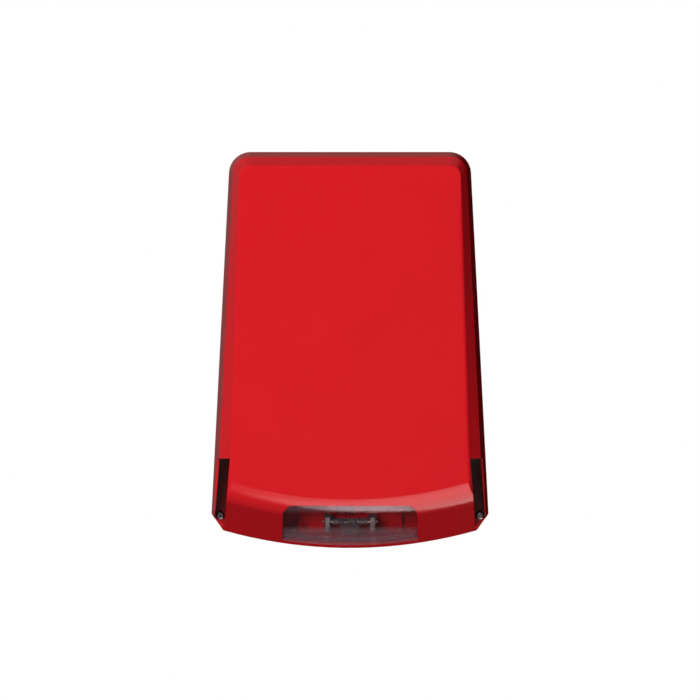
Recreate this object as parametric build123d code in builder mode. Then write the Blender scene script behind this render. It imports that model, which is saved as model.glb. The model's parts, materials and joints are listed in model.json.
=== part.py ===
from build123d import *
from math import cos, sin, tan, radians, sqrt
import os

os.makedirs("parts", exist_ok=True)

# Wall-mounted horn strobe. X is across the wall, Z is up, the wall plane is y = 0
# and depths are measured from it towards the front (-Y). All sizes in mm.

# Outline of the closed housing
top_z = 145.0                # top edge above the centre
half_width_top = 87.9        # half width of the sides carried up to the top edge
side_flare = 0.0511          # how much a side moves out for each mm further down
sweep_z = 195.0              # centre of the large bottom arc, on the middle line
sweep_radius = 340.0         # bottom arc of the housing outline
chamfer_z = -119.7           # height where the lower corner chamfer leaves the side
chamfer_run = 8.3            # width and height of the chamfer
chamfer_rise = 11.8
corner_radius = 16.0

# Depths
depth = 82.0                 # front face from the wall
base_depth = 20.0            # rim of the base tray
parting_gap = 0.3
cover_back = base_depth + parting_gap
bevel_back = 70.0            # where the side walls turn into the front bevel

# Cover shell
shell = 2.8
wall_draft = 4.0             # the side walls lean in by this much up to the bevel
bevel_corner = 12.0
face_corner = 7.7
face_top = 134.4
face_inset = 8.3             # front face edge inside the rear outline at the reference height
bevel_inset = 3.5
reference_z = 121.0
face_flare = 0.02835
bevel_flare = 0.049
crease_round = 2.4
underside_angle = 22.0       # slope of the underside against the depth direction
underside_radius = 16.5      # rounding between the front face and the underside

# Base tray
base_inset = 1.0
base_wall = 3.6
base_floor = 3.0
base_top = 138.4
base_rail_z = 130.0          # underside of the solid rail that carries the hinge
lip_height = 4.0
lip_clearance = 0.7
lip_top_z = 112.0

# Hinge
hinge_z = base_top
hinge_f = 19.0
pin_radius = 1.5
pin_clearance = 0.06
knuckle_radius = 3.2
knuckle_x = 57.0
base_knuckle = 5.2           # width of the base knuckle
cover_knuckle = 4.4
knuckle_gap = 0.4

# Side channels and cover screws
channel_heights = (-79.1, -117.0, -140.0)
channel_inner_inset = (11.75, 10.7, 10.3)   # from the rear outline of the housing
channel_outer_inset = (4.05, 2.9, 1.5)
channel_floor_back = 24.6
channel_floor = 2.6
channel_wall = 2.2
channel_rim = 50.0           # front edge of the low outer wall beside a channel
screw_inset = 6.5            # screw centre from the rear outline
screw_z = -121.0
screw_head_radius = 3.0
screw_head = 2.4
screw_radius = 1.6
screw_length = 14.0
screw_clearance = 0.1        # lets the tip swing out of the insert with the cover
insert_radius = 2.6
insert_length = 7.5
slot_count = 7
slot_pitch = 5.2
slot_width = 2.4
slot_length = 30.0

# Strobe lens
lens_top_z = -113.5
lens_half_top = 49.0
lens_half_low = 50.0
lens_radius = 337.9          # bottom edge of the window, from the large arc centre
lens_corner = 8.0
lens_gap = 0.15
lens_skin = 2.2
flange_width = 3.0
flange_low = 0.8
ear_width = 8.0
gasket_thickness = 0.8
flange_thickness = 1.6
rib_count = 6
rib_pitch = 5.2
rib_height = 1.2

# Inside
board_thickness = 1.6
board_lift = 6.0             # underside of the boards above the tray floor
horn_x, horn_z = 0.0, 62.0
mouth_radius = 42.0
throat_radius = 8.0
horn_back = 26.0
horn_front = 64.0
horn_skin = 1.8
ear_circle = mouth_radius + 5.5
battery_size = (97.0, 43.0, 52.0)   # width, depth from the wall, height
battery_x = -36.0
battery_low = -84.0            # underside of the battery, clear of the strobe board
battery_z = battery_low + battery_size[2] / 2
tube_z = -125.2
tube_f = 36.0
tube_radius = 2.5
tube_half = 18.8
clip_x = 16.5                # the two clips that carry the flash tube
tamper_x, tamper_z = 66.0, 4.0
tamper_post_end = 22.3       # depth of the end of the cover post over the plunger
tamper_gap = 0.4

slope = radians(underside_angle)
axis_line = Axis((0, 0, sweep_z), (0, 1, 0))
board_f = base_floor + board_lift
board_top = board_f + board_thickness


def front(f):
    return Plane.XZ.offset(f)


def half_width(z):
    return half_width_top + (top_z - z) * side_flare


chamfer_x = half_width(chamfer_z)
chamfer_x_low = chamfer_x - chamfer_run
chamfer_z_low = chamfer_z - chamfer_rise
screw_x = half_width(screw_z) - screw_inset
channel_inner = [(half_width(z) - d, z) for d, z in zip(channel_inner_inset, channel_heights)]
channel_outer = [(half_width(z) - d, z) for d, z in zip(channel_outer_inset, channel_heights)]


def in_part(label, builder):
    builder.part.label = label
    export_step(builder.part, f"parts/{label}.step")


def trapezoid(f, top, wide, flare, radius, low=-165.0):
    # Upright section, straight flared sides with two rounded upper corners
    with BuildSketch(front(f)) as section:
        with BuildLine():
            Polyline((-wide(top), top), (wide(top), top), (wide(low), low), (-wide(low), low), close=True)
        make_face()
        fillet(section.vertices().group_by(Axis.Z)[-1], radius)
    return section.sketch


def sweep_profile(inset, back, straight_back):
    # Solid of revolution whose lower side is the sloped underside and its front rounding
    radius = underside_radius - inset
    centre_f = depth - underside_radius
    centre_r = (sweep_radius - (centre_f - cover_back) * tan(slope)
                - underside_radius / cos(slope))
    rim = sweep_radius - inset / cos(slope)
    tangent = (centre_f + radius * sin(slope), centre_r + radius * cos(slope))
    middle = radians(90 + underside_angle) / 2 - slope
    halfway = (centre_f + radius * cos(middle), centre_r + radius * sin(middle))
    tip = (centre_f + radius, centre_r)

    def at(p):
        return (-p[0], sweep_z + p[1])

    with BuildPart() as body:
        with BuildSketch(Plane.YZ):
            with BuildLine():
                Polyline(at(tip), at((tip[0], 0)), at((back, 0)), at((back, rim)))
                if straight_back:
                    Line(at((back, rim)), at((cover_back, rim)))
                Line(at((cover_back, rim)), at(tangent))
                ThreePointArc(at(tangent), at(halfway), at(tip))
            make_face()
        revolve(axis=axis_line)
    return body.part


def corner_cuts(inset, back, ahead):
    # The two wedges removed outside the lower corner chamfers
    run = (chamfer_x - chamfer_x_low, chamfer_z - chamfer_z_low)
    size = sqrt(run[0] ** 2 + run[1] ** 2)
    nx, nz = run[1] / size, -run[0] / size
    upper = (chamfer_x + 2 * run[0] - inset * nx, chamfer_z + 2 * run[1] - inset * nz)
    lower = (chamfer_x_low - 3 * run[0] - inset * nx, chamfer_z_low - 3 * run[1] - inset * nz)
    with BuildPart() as wedges:
        with BuildSketch(front(back)) as plan:
            with BuildLine():
                Polyline(lower, upper, (170, upper[1]), (170, lower[1] - 20), (lower[0], lower[1] - 20), close=True)
            make_face()
            mirror(about=Plane.YZ)
        extrude(amount=ahead - back)
    return wedges.part


def cover_blank(inset, back):
    def rear(z):
        return half_width(z) - inset

    def at_bevel(z):
        return half_width(reference_z) - bevel_inset + (reference_z - z) * bevel_flare - inset

    def at_face(z):
        return half_width(reference_z) - face_inset + (reference_z - z) * face_flare - inset

    front_f = depth - inset
    bevel_f = bevel_back - 0.3 * inset
    sections = []
    if back < cover_back:
        sections.append(trapezoid(back, top_z - inset, rear, side_flare, corner_radius - inset))
    sections += [
        trapezoid(cover_back, top_z - inset, rear, side_flare, corner_radius - inset),
        trapezoid(bevel_f, top_z - wall_draft - inset, at_bevel, bevel_flare, bevel_corner - inset),
        trapezoid(front_f, face_top - inset, at_face, face_flare, face_corner - inset),
    ]
    with BuildPart() as blank:
        loft(sections, ruled=True)
        face_edges = blank.faces().sort_by(Axis.Y)[0].edges().sort_by(Axis.Z)[1:]
        if inset == 0:
            fillet(face_edges, crease_round)
        add(sweep_profile(inset, min(back, cover_back), back < cover_back), mode=Mode.INTERSECT)
        add(corner_cuts(inset, back - 1, depth + 1), mode=Mode.SUBTRACT)
    return blank.part


def window(grow_side, grow_low, grow_top, radius):
    # Outline of the strobe window in the front view, straight top and arched bottom
    with BuildSketch(front(10)) as plan:
        with BuildLine():
            Polyline((-lens_half_top - grow_side, lens_top_z + grow_top),
                     (lens_half_top + grow_side, lens_top_z + grow_top),
                     (lens_half_low + grow_side, -150), (-lens_half_low - grow_side, -150),
                     close=True)
        make_face()
        fillet(plan.vertices().group_by(Axis.Z)[-1], radius)
        with Locations((0, sweep_z)):
            Circle(lens_radius + grow_low, mode=Mode.INTERSECT)
    return plan.sketch


def slope_point(along, inward):
    # Point measured from the lower window edge, along the underside and into the wall
    edge_f = cover_back + (sweep_radius - lens_radius) / tan(slope)
    f = edge_f + along * cos(slope) - inward * sin(slope)
    r = lens_radius - along * sin(slope) - inward * cos(slope)
    return (-f, sweep_z + r)


def ahead_of_edge(along):
    # Everything in front of a cone square to the underside
    with BuildPart() as cone:
        with BuildSketch(Plane.YZ):
            with BuildLine():
                low, high = slope_point(along, -12), slope_point(along, 40)
                Polyline(low, high, (high[0], sweep_z), (-depth - 10, sweep_z),
                         (-depth - 10, low[1]), close=True)
            make_face()
        revolve(axis=axis_line)
    return cone.part


def window_block(side, top, along, radius):
    # Prism of the window, ended at the bottom by the cone
    with BuildPart() as block:
        extrude(window(side, 12, top, radius), amount=depth + 5)
        add(ahead_of_edge(along), mode=Mode.INTERSECT)
    return block.part


def window_band(outer, inner, side, top, along, radius):
    with BuildPart() as piece:
        add(window_block(side, top, along, radius))
        add(sweep_profile(outer, 5, True), mode=Mode.INTERSECT)
        add(sweep_profile(inner, 5, True), mode=Mode.SUBTRACT)
    return piece.part


flange_back = shell + gasket_thickness
flange_inner = flange_back + flange_thickness
screw_planes = []
for side in (1, -1):
    for f in (34.0, 56.0):
        x = side * (lens_half_low + ear_width - 4.0)
        r_flange = sweep_radius - (f - cover_back) * tan(slope) - flange_inner / cos(slope)
        lean = x / r_flange
        out = Vector(lean * cos(slope), -sin(slope), -cos(slope) * sqrt(1 - lean ** 2))
        screw_planes.append(Plane(origin=(x, -f, sweep_z - sqrt(r_flange ** 2 - x ** 2)),
                                  x_dir=(1, 0, -out.X / out.Z), z_dir=out))


def channel_sketch(f, grow, grow_top=0.0):
    with BuildSketch(front(f)) as plan:
        with BuildLine():
            inner = [(x - grow, z) for x, z in channel_inner]
            outer = [(x + grow, z) for x, z in channel_outer]
            inner[0] = (inner[0][0], inner[0][1] + grow_top)
            outer[0] = (outer[0][0], outer[0][1] + grow_top)
            Polyline(*inner, *reversed(outer), close=True)
        make_face()
        mirror(about=Plane.YZ)
    return plan.sketch


def both_sides(x, z):
    return ((x, z), (-x, z))


print("cover")
with BuildPart() as cover:
    add(cover_blank(0, cover_back))
    outside = cover.part
    add(cover_blank(shell, cover_back - 1), mode=Mode.SUBTRACT)
    # channel walls and floors, kept inside the housing outline
    with BuildPart(mode=Mode.PRIVATE) as channel_block:
        extrude(channel_sketch(channel_floor_back, channel_wall, channel_wall), amount=depth)
        add(outside, mode=Mode.INTERSECT)
    add(channel_block.part)
    extrude(channel_sketch(channel_floor_back + channel_floor, 0), amount=depth, mode=Mode.SUBTRACT)
    # the outer wall beside each channel is low, so the channel also opens sideways
    with BuildSketch(front(channel_rim)) as notch:
        with BuildLine():
            Polyline(channel_inner[0], channel_inner[1], channel_inner[2],
                     (120, channel_inner[2][1]), (120, channel_inner[0][1]), close=True)
        make_face()
        mirror(about=Plane.YZ)
    extrude(amount=depth, mode=Mode.SUBTRACT)
    # sound slots through the inner wall of each channel
    slot_z = [channel_inner[0][1] + 1 - slot_pitch * (i + 1) for i in range(slot_count)]
    for side in (1, -1):
        for z in slot_z:
            with Locations((side * (channel_inner[0][0] + 0.9), -(channel_floor_back + channel_floor + 5 + slot_length / 2), z)):
                Box(9, slot_length, slot_width, mode=Mode.SUBTRACT)
    # cover screw holes in the channel floors
    with BuildSketch(front(channel_floor_back + channel_floor + 1)):
        with Locations(*both_sides(screw_x, screw_z)):
            Circle(screw_radius + 0.25)
    extrude(amount=cover_back - channel_floor_back - channel_floor - 3, mode=Mode.SUBTRACT)
    # strobe window
    add(window_block(0, 0, 0, lens_corner), mode=Mode.SUBTRACT)
    for plane in screw_planes:
        with BuildSketch(plane.offset(flange_thickness + gasket_thickness - 0.2)):
            Circle(0.95)
        extrude(amount=2.2, mode=Mode.SUBTRACT)
    # hinge knuckles under the top wall
    for side in (1, -1):
        for step in (1, -1):
            middle = side * knuckle_x + step * (base_knuckle / 2 + knuckle_gap + cover_knuckle / 2)
            with BuildSketch(Plane.YZ.offset(middle - cover_knuckle / 2)):
                with Locations((-hinge_f, hinge_z)):
                    Circle(knuckle_radius)
                with BuildLine():
                    Polyline((-hinge_f - 0.3, hinge_z), (-hinge_f - 0.3, hinge_z + knuckle_radius),
                             (-cover_back - 0.2, top_z - 1.5), (-cover_back - 16, top_z - 3.0),
                             (-cover_back - 16, top_z - 5.5), (-hinge_f - 3.2, hinge_z), close=True)
                make_face()
            extrude(amount=cover_knuckle)
    with BuildSketch(Plane.YZ.offset(-knuckle_x - 20)):
        with Locations((-hinge_f, hinge_z)):
            Circle(pin_radius)
    extrude(amount=2 * knuckle_x + 40, mode=Mode.SUBTRACT)
    # post that keeps the tamper plunger pressed
    with BuildSketch(front(tamper_post_end)):
        with Locations((tamper_x, tamper_z)):
            Circle(2.6)
    extrude(amount=depth - tamper_post_end - shell + 0.5, taper=-1.2)
in_part("front_cover", cover)
print(cover.part.is_valid, len(cover.part.solids()), cover.part.volume)

print("base")


def base_sketch(f, inset, top, radius):
    with BuildSketch(front(f)) as plan:
        with BuildLine():
            Polyline((inset - half_width(top), top), (half_width(top) - inset, top),
                     (half_width(-165) - inset, -165), (inset - half_width(-165), -165), close=True)
        make_face()
        fillet(plan.vertices().group_by(Axis.Z)[-1], radius)
        with Locations((0, sweep_z)):
            Circle(sweep_radius - inset, mode=Mode.INTERSECT)
    return plan.sketch


wall_holes = [(x, z) for x in (-70.0, 70.0) for z in (-109.0, 109.0)]
wall_hole_radius = 2.75
grommet_x, grommet_z = -62.0, 4.0
grommet_hole = 8.0
posts_main = [(22, 12), (82, 12), (22, -82), (82, -82)]
posts_strobe = [(-33, -99), (33, -99), (-33, -129), (33, -129)]
horn_posts = [(horn_x + ear_circle * cos(radians(a)), horn_z + ear_circle * sin(radians(a)))
              for a in (90, 210, 330)]
strap_posts = [(battery_x, battery_z + s * (battery_size[2] / 2 + 6.0)) for s in (1, -1)]
post_radius = 3.4

with BuildPart() as base:
    extrude(base_sketch(0, base_inset, base_top, corner_radius - 2), amount=base_depth)
    extrude(base_sketch(base_floor, base_inset + base_wall, base_rail_z, 10), amount=depth, mode=Mode.SUBTRACT)
    # low lip that the cover closes over, along the sides and the bottom
    with BuildPart(mode=Mode.PRIVATE) as lip:
        outer_inset = shell + lip_clearance
        extrude(base_sketch(base_depth - 1, outer_inset, lip_top_z, 0.5), amount=lip_height + 1)
        extrude(base_sketch(base_depth - 2, base_inset + base_wall, 150, 0.5), amount=depth, mode=Mode.SUBTRACT)
        add(corner_cuts(outer_inset, -1, depth), mode=Mode.SUBTRACT)
        add(sweep_profile(outer_inset, 5, True), mode=Mode.INTERSECT)
    add(lip.part)
    # solid corner pads for the cover screw inserts
    with BuildPart(mode=Mode.PRIVATE) as pads:
        with BuildSketch(front(0)):
            with Locations(*both_sides(screw_x - 1.5, screw_z + 1)):
                Rectangle(15, 22)
        extrude(amount=base_depth)
        with BuildSketch(front(0)):
            add(base_sketch(0, base_inset, base_top, corner_radius - 2))
        extrude(amount=base_depth, mode=Mode.INTERSECT)
    add(pads.part)
    add(corner_cuts(base_inset, -1, depth), mode=Mode.SUBTRACT)
    with BuildSketch(front(base_depth)):
        with Locations(*both_sides(screw_x, screw_z)):
            Circle(insert_radius)
    extrude(amount=-insert_length, mode=Mode.SUBTRACT)
    with BuildSketch(front(base_depth + lip_height + 1)):
        with Locations(*both_sides(screw_x, screw_z)):
            Circle(screw_radius + 0.2)
    extrude(amount=-screw_length - lip_height - 1, mode=Mode.SUBTRACT)
    # hinge knuckles and the clearance for the cover knuckles
    for side in (1, -1):
        for step in (1, -1):
            middle = side * knuckle_x + step * (base_knuckle / 2 + knuckle_gap + cover_knuckle / 2)
            with BuildSketch(Plane.YZ.offset(middle - cover_knuckle / 2 - knuckle_gap)):
                with Locations((-hinge_f, hinge_z)):
                    Circle(knuckle_radius + knuckle_gap)
            extrude(amount=cover_knuckle + 2 * knuckle_gap, mode=Mode.SUBTRACT)
        with BuildSketch(Plane.YZ.offset(side * knuckle_x - base_knuckle / 2)):
            with Locations((-hinge_f, hinge_z)):
                Circle(knuckle_radius)
        extrude(amount=base_knuckle)
        with BuildSketch(Plane.YZ.offset(side * knuckle_x - 9)):
            with Locations((-hinge_f, hinge_z)):
                Circle(pin_radius + pin_clearance)
        extrude(amount=18, mode=Mode.SUBTRACT)
    # floor bosses for the wall screws, boards, horn and battery strap
    with BuildSketch(front(base_floor - 0.5)):
        with Locations(*wall_holes):
            Circle(6.5)
    extrude(amount=3.5)
    with BuildSketch(front(base_floor - 0.5)):
        with Locations(*posts_main, *posts_strobe):
            Circle(post_radius)
    extrude(amount=board_lift + 0.5)
    with BuildSketch(front(base_floor - 0.5)):
        with Locations(*horn_posts):
            Circle(4.2)
    extrude(amount=horn_front - 2.2 - base_floor + 0.5)
    with BuildSketch(front(base_floor - 0.5)):
        with Locations(*strap_posts):
            Circle(3.6)
    extrude(amount=9.5)
    # low rails that hold the battery sideways
    for end in (1, -1):
        with Locations((battery_x + end * (battery_size[0] / 2 + 1.6), -(base_floor + 3.5), battery_z)):
            Box(2.4, 8, 30)
    with BuildSketch(front(-1)):
        with Locations(*wall_holes):
            Circle(wall_hole_radius)
    extrude(amount=12, mode=Mode.SUBTRACT)
    with BuildSketch(front(-1)):
        with Locations((grommet_x, grommet_z)):
            Circle(grommet_hole)
    extrude(amount=8, mode=Mode.SUBTRACT)
    with BuildSketch(front(board_f)):
        with Locations(*posts_main, *posts_strobe):
            Circle(1.25)
    extrude(amount=-5, mode=Mode.SUBTRACT)
    with BuildSketch(front(horn_front - 2.2)):
        with Locations(*horn_posts):
            Circle(1.5)
    extrude(amount=-10, mode=Mode.SUBTRACT)
    with BuildSketch(front(base_floor + 9)):
        with Locations(*strap_posts):
            Circle(1.5)
    extrude(amount=-8, mode=Mode.SUBTRACT)
in_part("enclosure_base", base)
print(base.part.is_valid, len(base.part.solids()))

with BuildPart() as pins:
    reach = base_knuckle / 2 + knuckle_gap + cover_knuckle
    for side in (1, -1):
        with BuildSketch(Plane.YZ.offset(side * knuckle_x - reach)):
            with Locations((-hinge_f, hinge_z)):
                Circle(pin_radius)
        extrude(amount=2 * reach)
in_part("hinge_pins", pins)

head_back = channel_floor_back + channel_floor


def pan_screw(label, places, seat, radius, head_radius, head, length, recess=0.45):
    # Pan head screws pointing into the wall, seated at one depth
    with BuildPart() as screws:
        with BuildSketch(front(seat)):
            with Locations(*places):
                Circle(head_radius)
        extrude(amount=head)
        top_edges = screws.faces().sort_by(Axis.Y)[0:len(places)]
        fillet([edge for face in top_edges for edge in face.edges()], head * 0.45)
        with BuildSketch(front(seat + 0.2)):
            with Locations(*places):
                Circle(radius)
        extrude(amount=-length - 0.2)
        with BuildSketch(front(seat + head)):
            with Locations(*places):
                Rectangle(head_radius * 1.1, head_radius * 0.28)
                Rectangle(head_radius * 0.28, head_radius * 1.1)
        extrude(amount=-head * recess, mode=Mode.SUBTRACT)
    in_part(label, screws)


pan_screw("cover_screw_right", [(screw_x, screw_z)], head_back, screw_radius, screw_head_radius,
          screw_head, screw_length)
pan_screw("cover_screw_left", [(-screw_x, screw_z)], head_back, screw_radius, screw_head_radius,
          screw_head, screw_length)

with BuildPart() as inserts:
    with BuildSketch(front(base_depth - insert_length)):
        with Locations(*both_sides(screw_x, screw_z)):
            Circle(insert_radius)
            Circle(screw_radius + screw_clearance, mode=Mode.SUBTRACT)
    extrude(amount=insert_length)
in_part("screw_inserts", inserts)

print("lens")
skin_cut = (-lens_gap - 1.8, -lens_gap - 1.8, lens_gap + 1.8, lens_corner - 2)
with BuildPart() as lens:
    add(window_band(0, flange_inner, -lens_gap, -lens_gap, lens_gap, lens_corner))
    add(window_band(flange_back, flange_inner, ear_width, flange_width, -flange_low, lens_corner))
    add(window_band(lens_skin, flange_inner + 3, *skin_cut), mode=Mode.SUBTRACT)
    # concentric prism ribs on the inner face of the lower part of the window
    with BuildPart(mode=Mode.PRIVATE) as ribs:
        for i in range(rib_count):
            start = 3.0 + i * rib_pitch
            with BuildSketch(Plane.YZ):
                with BuildLine():
                    Polyline(slope_point(start, lens_skin - 0.3), slope_point(start, lens_skin + rib_height),
                             slope_point(start + 0.94 * rib_pitch, lens_skin),
                             slope_point(start + 0.94 * rib_pitch, lens_skin - 0.3), close=True)
                make_face()
            revolve(axis=axis_line)
        add(window_block(*skin_cut), mode=Mode.INTERSECT)
    add(ribs.part)
    for plane in screw_planes:
        with BuildSketch(plane.offset(-1)):
            Circle(1.1)
        extrude(amount=flange_thickness + 1.5, mode=Mode.SUBTRACT)
in_part("strobe_lens", lens)
print(lens.part.is_valid, len(lens.part.solids()), lens.part.volume)

with BuildPart() as gasket:
    add(window_band(shell, flange_back, ear_width, flange_width, -flange_low, lens_corner))
    add(window_block(0.2, 0.2, -0.2, lens_corner), mode=Mode.SUBTRACT)
    for plane in screw_planes:
        with BuildSketch(plane.offset(-1)):
            Circle(1.2)
        extrude(amount=5, mode=Mode.SUBTRACT)
in_part("lens_gasket", gasket)
print(gasket.part.is_valid, len(gasket.part.solids()))

with BuildPart() as lens_screws:
    for plane in screw_planes:
        with BuildSketch(plane.offset(-1.7)):
            Circle(2.0)
        extrude(amount=1.65)
        with BuildSketch(plane.offset(-0.3)):
            Circle(0.9)
        extrude(amount=4.2)
in_part("lens_screws", lens_screws)

print("horn")
flare_shares = [(0, 0), (0.21, 0.044), (0.474, 0.206), (0.737, 0.529), (0.895, 0.765), (1, 1)]
neck = [(horn_back + f * (horn_front - horn_back), throat_radius + r * (mouth_radius - throat_radius))
        for f, r in flare_shares]


def at_horn(f, r):
    return (horn_x + r, f)


horn_plane = Plane(origin=(0, 0, horn_z), x_dir=(1, 0, 0), z_dir=(0, 0, 1))
horn_axis = Axis((horn_x, 0, horn_z), (0, 1, 0))
driver_radius = 25.0
driver_back = 7.0
rim_lip = 2.2
with BuildPart() as flare:
    with BuildSketch(horn_plane):
        with BuildLine():
            inner_curve = Spline([(horn_x + r, -f) for f, r in neck])
            outer_curve = Spline([(horn_x + r + horn_skin, -f) for f, r in neck])
            Line(inner_curve @ 0, outer_curve @ 0)
            Line(inner_curve @ 1, outer_curve @ 1)
        make_face()
    revolve(axis=horn_axis)
    # rolled rim, screw ears and the plate that carries the driver
    with BuildSketch(front(horn_front - rim_lip)):
        with Locations((horn_x, horn_z)):
            Circle(mouth_radius + horn_skin + 1.2)
            Circle(mouth_radius - 0.5, mode=Mode.SUBTRACT)
    extrude(amount=rim_lip)
    with BuildSketch(front(horn_front - rim_lip)):
        with Locations(*horn_posts):
            Circle(5.2)
        with Locations((horn_x, horn_z)):
            Circle(mouth_radius + 1, mode=Mode.SUBTRACT)
    extrude(amount=rim_lip)
    with BuildSketch(front(horn_back)):
        with Locations((horn_x, horn_z)):
            Circle(driver_radius)
            Circle(throat_radius, mode=Mode.SUBTRACT)
    extrude(amount=2.4)
    with BuildSketch(front(horn_front)):
        with Locations(*horn_posts):
            Circle(1.75)
    extrude(amount=-rim_lip - 1, mode=Mode.SUBTRACT)
in_part("horn_flare", flare)
print(flare.part.is_valid, len(flare.part.solids()))

lead_f = board_top + 3.2
with BuildPart() as driver:
    with BuildSketch(front(driver_back)):
        with Locations((horn_x, horn_z)):
            Circle(driver_radius)
    extrude(amount=horn_back - driver_back - 1.0)
    fillet(driver.faces().sort_by(Axis.Y)[-1].edges(), 2.0)
    with BuildSketch(front(horn_back - 1.0)):
        with Locations((horn_x, horn_z)):
            Circle(driver_radius - 3.0)
    extrude(amount=-10, mode=Mode.SUBTRACT)
    # short lug on the side for the lead
    with Locations((horn_x + 23, -lead_f, horn_z - 12)):
        Box(9, 7, 9)
    with Locations((horn_x + 22, -lead_f, horn_z - 12)):
        Box(12, 3.0, 5.6, mode=Mode.SUBTRACT)
in_part("driver_housing", driver)
print(driver.part.is_valid, len(driver.part.solids()))

with BuildPart() as driver_gasket:
    with BuildSketch(front(horn_back - 1.0)):
        with Locations((horn_x, horn_z)):
            Circle(driver_radius - 0.4)
            Circle(driver_radius - 3.4, mode=Mode.SUBTRACT)
    extrude(amount=1.0)
in_part("driver_gasket", driver_gasket)

with BuildPart() as disc:
    with BuildSketch(front(horn_back - 3.0)):
        with Locations((horn_x, horn_z)):
            Circle(driver_radius - 3.1)
    extrude(amount=0.5)
    with BuildSketch(front(horn_back - 2.5)):
        with Locations((horn_x, horn_z)):
            Circle(14)
    extrude(amount=0.5)
in_part("piezo_disc", disc)

pan_screw("horn_screws", horn_posts, horn_front, 1.45, 3.0, 2.0, 9.0)

print("battery")
bw, bd, bh = battery_size
battery_f = base_floor + 0.4
with BuildPart() as battery:
    with Locations((battery_x, -(battery_f + bd / 2), battery_z)):
        Box(bw, bd, bh)
    fillet(battery.edges(), 1.5)
    # shallow cell lines and terminal wells along the top
    for x in (battery_x - 36, battery_x + 36):
        with Locations((x, -(battery_f + bd - 8), battery_z + bh / 2)):
            Box(9, 10, 3, mode=Mode.SUBTRACT)
in_part("battery_case", battery)

tab_z = battery_z + bh / 2 - 1.5
tab_f = battery_f + bd - 8
with BuildPart() as tabs:
    for x in (battery_x - 36, battery_x + 36):
        with Locations((x, -tab_f, tab_z + 4.0)):
            Box(4.75, 0.8, 8.0)
        with Locations((x, -tab_f, tab_z + 0.5)):
            Box(7.0, 3.0, 1.0)
in_part("battery_terminals", tabs)

with BuildPart() as strap:
    strap_f = battery_f + bd + 0.3
    arm = bh / 2 + 1.0
    foot = base_floor + 9
    with BuildSketch(Plane.YZ.offset(battery_x - 7)):
        with BuildLine():
            path = [(-foot - 0.0, battery_z + arm + 9.5), (-foot, battery_z + arm),
                    (-strap_f, battery_z + arm), (-strap_f, battery_z - arm),
                    (-foot, battery_z - arm), (-foot, battery_z - arm - 9.5)]
            thick = 1.2
            outer = [(-foot - thick, battery_z + arm + 9.5), (-foot - thick, battery_z + arm + thick),
                     (-strap_f - thick, battery_z + arm + thick),
                     (-strap_f - thick, battery_z - arm - thick),
                     (-foot - thick, battery_z - arm - thick), (-foot - thick, battery_z - arm - 9.5)]
            Polyline(*path, *reversed(outer), close=True)
        make_face()
    extrude(amount=14)
    with BuildSketch(front(foot - 1)):
        with Locations(*strap_posts):
            Circle(1.8)
    extrude(amount=4, mode=Mode.SUBTRACT)
in_part("battery_strap", strap)
pan_screw("strap_screws", strap_posts, foot + thick, 1.45, 2.8, 1.9, 7.0)

print("boards")
board_w, board_h = 68.0, 104.0
board_x, board_z = 52.0, -35.0


def board(label, sx, sz, w, h, holes):
    with BuildPart() as plate:
        with BuildSketch(front(board_f)):
            with Locations((sx, sz)):
                RectangleRounded(w, h, 2)
            with Locations(*holes):
                Circle(1.6, mode=Mode.SUBTRACT)
        extrude(amount=board_thickness)
    in_part(label, plate)


board("main_board", board_x, board_z, board_w, board_h, posts_main)
board("strobe_board", 0, -114, 76, 40, posts_strobe)
pan_screw("board_screws", posts_main, board_top, 1.2, 2.6, 1.7, 5.5)
pan_screw("strobe_board_screws", posts_strobe, board_top, 1.2, 2.6, 1.7, 5.5)


def block(x, f, z, w, d, h, mode=Mode.ADD):
    # Box whose back sits at depth f
    with Locations((x, -(f + d / 2), z)):
        return Box(w, d, h, mode=mode)


terminal_x, terminal_z = 44.0, 9.5
ways = 5
with BuildPart() as terminal:
    block(terminal_x, board_top, terminal_z, ways * 5.08, 10.0, 8.0)
    chamfer(terminal.edges().filter_by(Axis.X).sort_by(Axis.Y)[0:2], 1.2)
    for i in range(ways):
        x = terminal_x + (i - (ways - 1) / 2) * 5.08
        block(x, board_top + 1.2, terminal_z + 4, 3.4, 4.0, 6.0, Mode.SUBTRACT)
        with BuildSketch(front(board_top + 10)):
            with Locations((x, terminal_z)):
                Circle(1.7)
        extrude(amount=-3.0, mode=Mode.SUBTRACT)
in_part("terminal_block", terminal)

with BuildPart() as terminal_screws:
    spots = [(terminal_x + (i - (ways - 1) / 2) * 5.08, terminal_z) for i in range(ways)]
    with BuildSketch(front(board_top + 7.0)):
        with Locations(*spots):
            Circle(1.6)
    extrude(amount=2.2)
    with BuildSketch(front(board_top + 9.2)):
        with Locations(*spots):
            Rectangle(2.8, 0.6)
    extrude(amount=-0.9, mode=Mode.SUBTRACT)
in_part("terminal_screws", terminal_screws)

with BuildPart() as chips:
    block(50, board_top, -22, 9, 1.6, 9)
    block(34, board_top, -40, 5, 1.5, 6)
    block(70, board_top, -44, 6, 1.5, 5)
    for side in (1, -1):
        for i in range(6):
            offset_i = (i - 2.5) * 1.27
            block(50 + side * 5.0, board_top, -22 + offset_i, 1.4, 0.4, 0.5)
in_part("control_chips", chips)

with BuildPart() as capacitors:
    for x, z, r, tall in ((26, -14, 4.0, 13.0), (26, -28, 4.0, 13.0), (78, -70, 5.0, 16.0)):
        with BuildSketch(front(board_top)):
            with Locations((x, z)):
                Circle(r)
        extrude(amount=tall)
    fillet(capacitors.faces().filter_by(Axis.Y).sort_by(Axis.Y)[0:3].edges(), 0.7)
in_part("power_capacitors", capacitors)

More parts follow.
